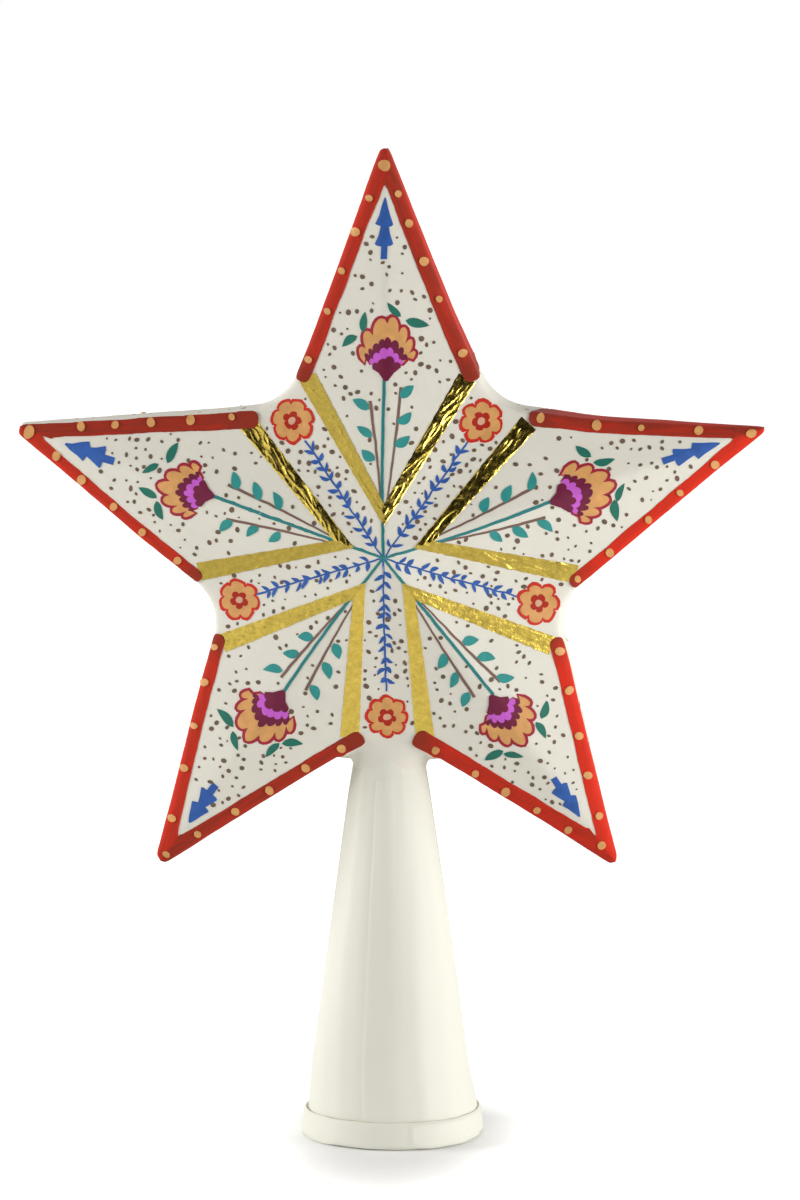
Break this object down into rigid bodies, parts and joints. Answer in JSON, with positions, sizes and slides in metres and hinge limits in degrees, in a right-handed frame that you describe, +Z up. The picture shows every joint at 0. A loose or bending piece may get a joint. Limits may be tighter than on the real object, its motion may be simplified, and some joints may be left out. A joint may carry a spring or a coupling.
{
  "type": "star tree topper",
  "caption": "Hollow papier-mache star with creased arms, painted borders and foil strips, carried on a tapered paper cone that slips over the top shoot of a tree.",
  "frame": {"origin": "middle of the cone's mouth, on the surface that the star stands on", "axes": "+Z up along the cone towards the star's top point, -Y out of the star's front face, +X to the right of someone looking at the front"},
  "size_m": [0.2014, 0.054, 0.2651],
  "materials": {
    "painted_pulp": "matte",
    "pasted_paper": "matte",
    "rolled_card": "matte",
    "gold_foil": "crinkled, bright"
  },
  "bodies": {
    "root": {"cone_lap_strip": "pasted_paper", "cone_sleeve": "rolled_card", "foil_back_left_arm_left": "gold_foil", "foil_back_left_arm_right": "gold_foil", "foil_back_lower_left_arm_left": "gold_foil", "foil_back_lower_left_arm_right": "gold_foil", "foil_back_lower_right_arm_left": "gold_foil", "foil_back_lower_right_arm_right": "gold_foil", "foil_back_right_arm_left": "gold_foil", "foil_back_right_arm_right": "gold_foil", "foil_back_top_arm_left": "gold_foil", "foil_back_top_arm_right": "gold_foil", "foil_front_left_arm_left": "gold_foil", "foil_front_left_arm_right": "gold_foil", "foil_front_lower_left_arm_left": "gold_foil", "foil_front_lower_left_arm_right": "gold_foil", "foil_front_lower_right_arm_left": "gold_foil", "foil_front_lower_right_arm_right": "gold_foil", "foil_front_right_arm_left": "gold_foil", "foil_front_right_arm_right": "gold_foil", "foil_front_top_arm_left": "gold_foil", "foil_front_top_arm_right": "gold_foil", "hem_band": "pasted_paper", "neck_fillet": "painted_pulp", "seam_strip_left": "pasted_paper", "seam_strip_lower_left": "pasted_paper", "seam_strip_lower_right": "pasted_paper", "seam_strip_right": "pasted_paper", "seam_strip_upper_left": "pasted_paper", "seam_strip_upper_right": "pasted_paper", "star_back_shell": "painted_pulp", "star_front_shell": "painted_pulp"}
  },
  "joints": []
}
